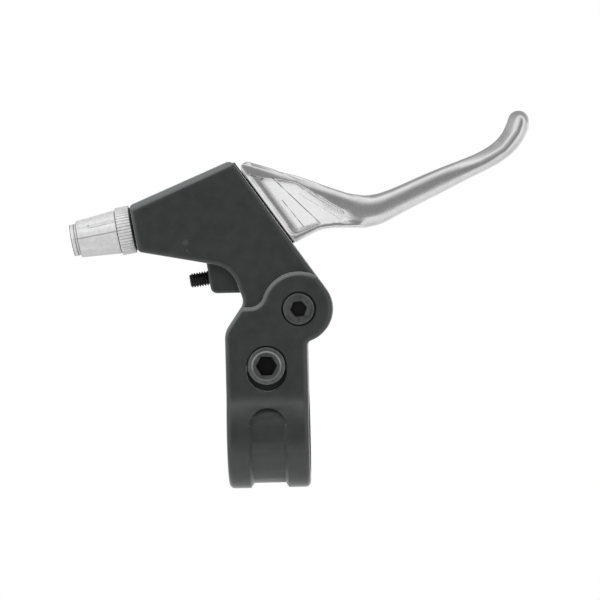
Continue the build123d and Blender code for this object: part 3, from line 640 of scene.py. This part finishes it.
places, normals = points_of(casting)
x, y, z = places.T
out = out_of_mouth(x, z)
share = groove_share(x, z)
pad_edge = (share >= 1) * (1 - ease(np.abs(depth_inside(x, z, PAD_OUTLINE)), *PAD_EDGE))
on_panel = ease(panel_relief(x, z) - bar_relief(x, z), *PANEL_FADE) * (1 - PAD_EDGE_SHINE * pad_edge)
on_panel *= ease(share, *GROOVE_FAR) + GROOVE_NEAR_DULL * (1 - ease(share, *GROOVE_NEAR))
on_panel *= (out > ROOT_OUT) & (z > level(x, ROOT_FOOT))
on_panel *= (1 - ease(x, *PANEL_END)) * ease(np.abs(normals[:, 1]), *PANEL_FACING)
on_flange = ease(out, *FLANGE_START) * (1 - ease(out, *FLANGE_EDGE))
on_flange *= (x < FLANGE_LAST) * ease(np.abs(y), *FLANGE_SIDE)
blasted = casting.data.attributes.new("blasted", "FLOAT", "POINT")
blasted.data.foreach_set("value", np.maximum(on_panel, FLANGE_DULL * on_flange))

cast_alloy, nodes, links, shader = new_material("cast_alloy")
panel = nodes.new("ShaderNodeAttribute")
panel.attribute_name = "blasted"
cloud = noise_on_object(nodes, links, *CASTING_CLOUD)
sand = noise_on_object(nodes, links, *CASTING_SAND)
speck = noise_on_object(nodes, links, *CASTING_SPECK)
polished = ramp_between(nodes, links, cloud, POLISHED_TONES)
dull = ramp_between(nodes, links, sand, BLASTED_TONES)
tint = blend_of(nodes, links, panel.outputs["Fac"], polished, dull)
for first, last, width, darkness in DARK_LINES:
    showing = values_between(nodes, links, cloud, (DARK_LINE_FAINT * darkness, darkness), DARK_LINE_BREAKS)
    drawn = product_of(nodes, links, line_mask(nodes, links, first, last, width), showing)
    tint = blend_of(nodes, links, drawn, tint, DARK_LINE_COLOUR)
links.new(tint, shader.inputs["Base Color"])
metal = values_between(nodes, links, panel.outputs["Fac"], BLASTED_METAL, RISING)
links.new(metal, shader.inputs["Metallic"])
polished_rough = values_between(nodes, links, speck, POLISHED_ROUGH)
blasted_rough = values_between(nodes, links, sand, BLASTED_ROUGH)
rough = blend_of(nodes, links, panel.outputs["Fac"], polished_rough, blasted_rough)
links.new(rough, shader.inputs["Roughness"])
roughen(nodes, links, shader, speck, *CASTING_BUMP)
dress(casting, cast_alloy)
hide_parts("lever")
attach(casting, "lever_body")


# Cable adjuster: barrel and lock ring turned from aluminium bar and satin anodised. The barrel has soft
# flutes to grip and saw lines for the cable. It is screwed into the bracket and the ridged ring locks it
# there. A thin near-black disc fills the gap between ring and bracket as painted shade for that gap.
ADJUSTER_FACE = Vector(joints["lock_ring_turn"]["pos_m"])
ADJUSTER_OUT = Vector(joints["lock_ring_turn"]["axis"])
ADJUSTER_FRAME = Matrix.Translation(ADJUSTER_FACE) @ Matrix((
    (0.0, -ADJUSTER_OUT.z, ADJUSTER_OUT.x, 0.0),
    (1.0, 0.0, 0.0, 0.0),
    (0.0, ADJUSTER_OUT.x, ADJUSTER_OUT.z, 0.0),
    (0.0, 0.0, 0.0, 1.0),
))
SHANK_HOLE = 0.00405
SHANK_HOLE_STEPS = 64
BARREL_EDGE = 0.00012
BARREL_CORNER = 28
BARREL_TAPER = math.atan(1.0 / 10.9)
SAW_DEPTH = 0.002
SAW_LINES = [
    # turn from the front, first and last place along the barrel, width, radius of the floor at the start
    (0.0, 0.0048, 0.0180, 0.00036, 0.00528),
    (27.0, 0.0048, 0.0122, 0.00030, 0.00545),
    (31.5, 0.0119, 0.0123, 0.00110, 0.00475),
]
STEP_SHADE_PLACES = (0.00465, 0.01560, 0.01625, 0.01735)
STEP_SHADE_HALF = 0.00013
STEP_SHADE_DARK = (0.22, 0.22, 0.23)
TURNED_TONES = [(0.32, (0.70, 0.70, 0.71)), (0.68, (0.81, 0.81, 0.81))]
TURNED_ROUGH = (0.34, 0.46)
TURNED_METAL = 0.3
TURNED_CLOUD = (900.0, 4.0)
TURNED_GRAIN = (5000.0, 2.0)
TURNED_BUMP = (0.10, 0.00002)
RING_RADIUS = 0.0065
RING_ENDS = (0.0008, 0.0045)
RING_EDGE = 0.00010
RING_HOLE_ENDS = (0.0, 0.006)
RIDGES = 48
RIDGE_STEPS = 6
RIDGE_DEPTHS = (0.00050, 0.00038, 0.00044)
RIDGE_MIX = 5
GAP_DISC_RADIUS = 0.00585
GAP_DISC_ENDS = (0.00006, 0.00076)
GAP_DISC_STEPS = 72
GAP_DISC_ROUND = 0.0002
GAP_DISC_HOLE_ENDS = (-0.001, 0.002)
GAP_SHADE_MOTTLE = (2400.0, 3.0)
GAP_SHADE_TONES = [(0.35, (0.010, 0.010, 0.011)), (0.65, (0.019, 0.019, 0.020))]
GAP_SHADE_ROUGH = (0.55, 0.72)


def cut_with(piece, tool):
    """Cut a piece with another one, which is used up."""
    cut = piece.modifiers.new("cut", "BOOLEAN")
    cut.operation = "DIFFERENCE"
    cut.solver = "EXACT"
    cut.object = tool
    finish_with(piece, cut)
    bpy.data.objects.remove(tool)


def disc(radius, ends, steps):
    """Blank with a number of sides between two places along Z."""
    bpy.ops.object.select_all(action="DESELECT")
    bpy.ops.mesh.primitive_cylinder_add(vertices=steps, radius=radius, depth=ends[1] - ends[0],
                                        location=(0, 0, (ends[0] + ends[1]) / 2))
    bpy.ops.object.transform_apply(location=True, rotation=True, scale=True)
    return bpy.context.active_object


turned_alloy, nodes, links, shader = new_material("turned_alloy")
cloud = noise_on_object(nodes, links, *TURNED_CLOUD)
tint = ramp_between(nodes, links, cloud, TURNED_TONES)
place = nodes.new("ShaderNodeTexCoord")
from_face = nodes.new("ShaderNodeMapping")
from_face.vector_type = "TEXTURE"
from_face.inputs["Location"].default_value = ADJUSTER_FACE
links.new(place.outputs["Object"], from_face.inputs["Vector"])
along = nodes.new("ShaderNodeVectorMath")
along.operation = "DOT_PRODUCT"
along.inputs[1].default_value = ADJUSTER_OUT
links.new(from_face.outputs["Vector"], along.inputs[0])
# Painted shade: thin dark rings round the barrel at its steps, where their edges turn away from the light
for line in STEP_SHADE_PLACES:
    on_line = nodes.new("ShaderNodeMath")
    on_line.operation = "COMPARE"
    on_line.inputs[1].default_value = line
    on_line.inputs[2].default_value = STEP_SHADE_HALF
    links.new(along.outputs["Value"], on_line.inputs[0])
    tint = blend_of(nodes, links, on_line.outputs["Value"], tint, STEP_SHADE_DARK)
links.new(tint, shader.inputs["Base Color"])
links.new(values_between(nodes, links, cloud, TURNED_ROUGH), shader.inputs["Roughness"])
shader.inputs["Metallic"].default_value = TURNED_METAL
fine = noise_on_object(nodes, links, *TURNED_GRAIN)
roughen(nodes, links, shader, fine, *TURNED_BUMP)

barrel = merged_copy("barrel_adjuster", "barrel_turned")
for turn, first, last, width, floor in SAW_LINES:
    saw = block((SAW_DEPTH, width, last - first), (-SAW_DEPTH / 2, 0, (last - first) / 2))
    lean = Matrix.Translation((-floor, 0, first)) @ Matrix.Rotation(BARREL_TAPER, 4, "Y")
    place_piece(saw, ADJUSTER_FRAME @ Matrix.Rotation(math.radians(turn), 4, "Z") @ lean)
    cut_with(barrel, saw)
round_edges(barrel, BARREL_EDGE, BARREL_CORNER)
dress(barrel, turned_alloy)
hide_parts("barrel_adjuster")
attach(barrel, "adjuster_body")

around = RIDGES * RIDGE_STEPS
ring = disc(RING_RADIUS, RING_ENDS, around)
ring.name = "lock_ring_ridged"
for kind, depth in enumerate(RIDGE_DEPTHS):
    bpy.ops.object.mode_set(mode="EDIT")
    bpy.ops.mesh.select_mode(type="VERT")
    bpy.ops.mesh.select_all(action="DESELECT")
    bpy.ops.object.mode_set(mode="OBJECT")
    for vertex in ring.data.vertices:
        step = round(math.atan2(vertex.co.y, vertex.co.x) / math.tau * around) % around
        ridge, past_groove = divmod(step, RIDGE_STEPS)
        vertex.select = past_groove == 0 and ridge * RIDGE_MIX % len(RIDGE_DEPTHS) == kind
    shrink = 1 - depth / RING_RADIUS
    bpy.ops.object.mode_set(mode="EDIT")
    bpy.ops.transform.resize(value=(shrink, shrink, 1), center_override=(0, 0, 0))
    bpy.ops.object.mode_set(mode="OBJECT")
cut_with(ring, disc(SHANK_HOLE, RING_HOLE_ENDS, SHANK_HOLE_STEPS))
round_edges(ring, RING_EDGE, SQUARE_CORNER)
place_piece(ring, ADJUSTER_FRAME)
dress(ring, turned_alloy)
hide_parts("lock_ring")
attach(ring, "lock_ring_body")

# Painted shade: a thin near-black disc stands in the gap between the lock ring and the bracket
gap_disc = disc(GAP_DISC_RADIUS, GAP_DISC_ENDS, GAP_DISC_STEPS)
gap_disc.name = "gap_shade_disc"
cut_with(gap_disc, disc(SHANK_HOLE, GAP_DISC_HOLE_ENDS, SHANK_HOLE_STEPS))
round_edges(gap_disc, GAP_DISC_ROUND, SQUARE_CORNER)
place_piece(gap_disc, ADJUSTER_FRAME)
dress(gap_disc, mottled("painted_shade_black", GAP_SHADE_MOTTLE, GAP_SHADE_TONES, GAP_SHADE_ROUGH, 0.0))
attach(gap_disc, "lock_ring_body")


# Reach screw: set screw in black oxide steel with its thread cut from end to end and a hexagon socket.
# It runs in the small boss of the bracket, and the lever rests against its inner end.
THREAD_PITCH = 0.0007
THREAD_CREST = 0.0020
THREAD_ROOT = 0.00158
THREAD_PROFILE = [(0.0, 0.0), (0.12, 0.0), (0.47, 1.0), (0.65, 1.0), (1.0, 0.0)]
THREAD_STEPS = 32
THREAD_ROWS = 12
SCREW_LENGTH = 0.020
SCREW_CHAMFER = 0.0005
SCREW_END = Vector((-0.02037, 0.0, 0.04188))
SCREW_IN = -Vector(joints["reach_screw_travel"]["axis"])
SCREW_TURN = math.atan2(SCREW_IN.x, SCREW_IN.z)
SCREW_FRAME = Matrix.Translation(SCREW_END) @ Matrix.Rotation(SCREW_TURN, 4, "Y")
SCREW_KEY = 0.0020
SCREW_KEY_DEPTH = 0.0020
THREAD_SCUFF = (900.0, 4.0)
THREAD_TONES = [(0.30, (0.050, 0.051, 0.052)), (0.72, (0.095, 0.096, 0.097))]
THREAD_ROUGH = (0.36, 0.50)

# A flat sheet, one turn wide and as long as the screw, is rolled into the thread and closed
rows = round(SCREW_LENGTH / THREAD_PITCH * THREAD_ROWS)
bpy.ops.object.select_all(action="DESELECT")
bpy.ops.mesh.primitive_grid_add(x_subdivisions=THREAD_STEPS, y_subdivisions=rows, size=1.0)
reach_screw = bpy.context.active_object
reach_screw.name = "reach_screw_threaded"
sheet = np.empty(3 * len(reach_screw.data.vertices))
reach_screw.data.vertices.foreach_get("co", sheet)
turns, heights = sheet.reshape(-1, 3).T[:2] + 0.5
heights *= SCREW_LENGTH
rise = level((heights / THREAD_PITCH - turns) % 1.0, THREAD_PROFILE)
to_end = np.minimum(heights, SCREW_LENGTH - heights)
thread = THREAD_ROOT + (THREAD_CREST - THREAD_ROOT) * rise
radius = np.minimum(thread, THREAD_CREST - SCREW_CHAMFER + to_end)
rolled = np.stack([radius * np.cos(math.tau * turns), radius * np.sin(math.tau * turns), heights], axis=1)
reach_screw.data.vertices.foreach_set("co", rolled.ravel())
reach_screw.data.update()
bpy.ops.object.mode_set(mode="EDIT")
bpy.ops.mesh.select_all(action="SELECT")
bpy.ops.mesh.remove_doubles(threshold=SAME_POINT)
bpy.ops.mesh.fill_holes(sides=0)
bpy.ops.mesh.select_all(action="SELECT")
bpy.ops.mesh.normals_make_consistent(inside=False)
bpy.ops.object.mode_set(mode="OBJECT")
cut_with(reach_screw, disc(SCREW_KEY / math.sqrt(3), (-SCREW_KEY_DEPTH, SCREW_KEY_DEPTH), 6))
place_piece(reach_screw, SCREW_FRAME)
bpy.ops.object.shade_smooth_by_angle(angle=SMOOTH_BELOW)
dress(reach_screw, mottled("black_steel_thread", THREAD_SCUFF, THREAD_TONES, THREAD_ROUGH, 0.9))
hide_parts("reach_screw")
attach(reach_screw, "reach_screw_body")


# Studio: a pale round table under the part and a white room with a dark wall behind the camera, which
# the polished metal shows, lit by soft lamps. The camera stands where the photograph's did.
TABLE_RADIUS = 0.15
TABLE_STEPS = 96
TABLE_MIDDLE = (0.009, 0, -0.066)
TABLE_GREY = (0.86, 0.86, 0.86, 1.0)
TABLE_ROUGH = 0.7
ROOM_BAND = [
    # angle from straight ahead of the part, up over its top, and brightness there
    (-180, 1.00), (-125, 0.64), (-100, 0.61), (-84, 0.60), (-67, 0.54), (-53, 0.47), (-39, 0.37),
    (-25, 0.28), (-10, 0.235), (10, 0.225), (24, 0.25), (34, 0.35), (45, 0.51), (58, 0.72), (70, 0.90),
    (82, 0.95), (97, 0.50), (115, 0.29), (140, 0.36), (180, 1.00),
]
ROOM_SIDES = (0.85, 0.85, 0.85)
ROOM_SIDES_FROM = (0.28, 0.68)
ROOM_FRONT_HALF = (-0.35, 0.0)
WHITE = (1.0, 1.0, 1.0)
LAMPS = [
    # name, place and power
    ("lamp_above", (-0.22, -0.40, 0.60), 2.4),
    ("lamp_front", (0.30, -0.65, 0.10), 1.4),
]
LAMP_SIZE = 0.45
VIEW_CENTRE = Vector((0.00918, 0.0, 0.0360))
VIEW_WIDTH = 0.1622
VIEW_DISTANCE = 0.85
VIEW_TURN = math.radians(1.0)
VIEW_ROLL = math.radians(1.4)
SENSOR = 36.0

bpy.ops.object.select_all(action="DESELECT")
bpy.ops.mesh.primitive_circle_add(vertices=TABLE_STEPS, radius=TABLE_RADIUS, fill_type="NGON",
                                  location=TABLE_MIDDLE)
table = bpy.context.active_object
table.name = "table"
table_white, nodes, links, shader = new_material("table_white")
shader.inputs["Base Color"].default_value = TABLE_GREY
shader.inputs["Roughness"].default_value = TABLE_ROUGH
dress(table, table_white)

world = bpy.data.worlds.new("white_room")
bpy.context.scene.world = world
world.use_nodes = True
nodes = world.node_tree.nodes
links = world.node_tree.links
place = nodes.new("ShaderNodeTexCoord")
axes = nodes.new("ShaderNodeSeparateXYZ")
links.new(place.outputs["Generated"], axes.inputs["Vector"])
front = nodes.new("ShaderNodeMath")
front.operation = "MULTIPLY"
front.inputs[1].default_value = -1.0
links.new(axes.outputs["Y"], front.inputs[0])
round_angle = nodes.new("ShaderNodeMath")
round_angle.operation = "ARCTAN2"
links.new(axes.outputs["Z"], round_angle.inputs[0])
links.new(front.outputs["Value"], round_angle.inputs[1])
turn = values_between(nodes, links, round_angle.outputs["Value"], RISING, (-math.pi, math.pi))
stops = [((angle + 180) / 360, (bright, bright, bright)) for angle, bright in ROOM_BAND]
band = ramp_between(nodes, links, turn, stops)
sideways = nodes.new("ShaderNodeMath")
sideways.operation = "ABSOLUTE"
links.new(axes.outputs["X"], sideways.inputs[0])
far_side = values_between(nodes, links, sideways.outputs["Value"], RISING, ROOM_SIDES_FROM)
in_front = values_between(nodes, links, axes.outputs["Y"], FALLING, ROOM_FRONT_HALF)
walls = blend_of(nodes, links, product_of(nodes, links, far_side, in_front), band, ROOM_SIDES)
path = nodes.new("ShaderNodeLightPath")
seen = blend_of(nodes, links, path.outputs["Is Camera Ray"], walls, WHITE)
links.new(seen, nodes["Background"].inputs["Color"])
nodes["Background"].inputs["Strength"].default_value = 1.0

# The lamps are hidden from glossy rays, so no polished face shows them
for name, stand, power in LAMPS:
    lamp = bpy.data.lights.new(name, "AREA")
    lamp.size = LAMP_SIZE
    lamp.energy = power
    holder = bpy.data.objects.new(name, lamp)
    holder.location = stand
    holder.rotation_euler = (VIEW_CENTRE - Vector(stand)).to_track_quat("-Z", "Y").to_euler()
    holder.visible_glossy = False
    bpy.context.scene.collection.objects.link(holder)

camera = bpy.data.objects.new("camera", bpy.data.cameras.new("camera"))
camera.data.sensor_width = SENSOR
camera.data.lens = SENSOR * VIEW_DISTANCE / VIEW_WIDTH
camera.location = VIEW_CENTRE + VIEW_DISTANCE * Vector((math.sin(VIEW_TURN), -math.cos(VIEW_TURN), 0.0))
camera.rotation_euler = (math.pi / 2, VIEW_ROLL, VIEW_TURN)
bpy.context.scene.collection.objects.link(camera)
bpy.context.scene.camera = camera
bpy.context.scene.view_settings.view_transform = "Standard"
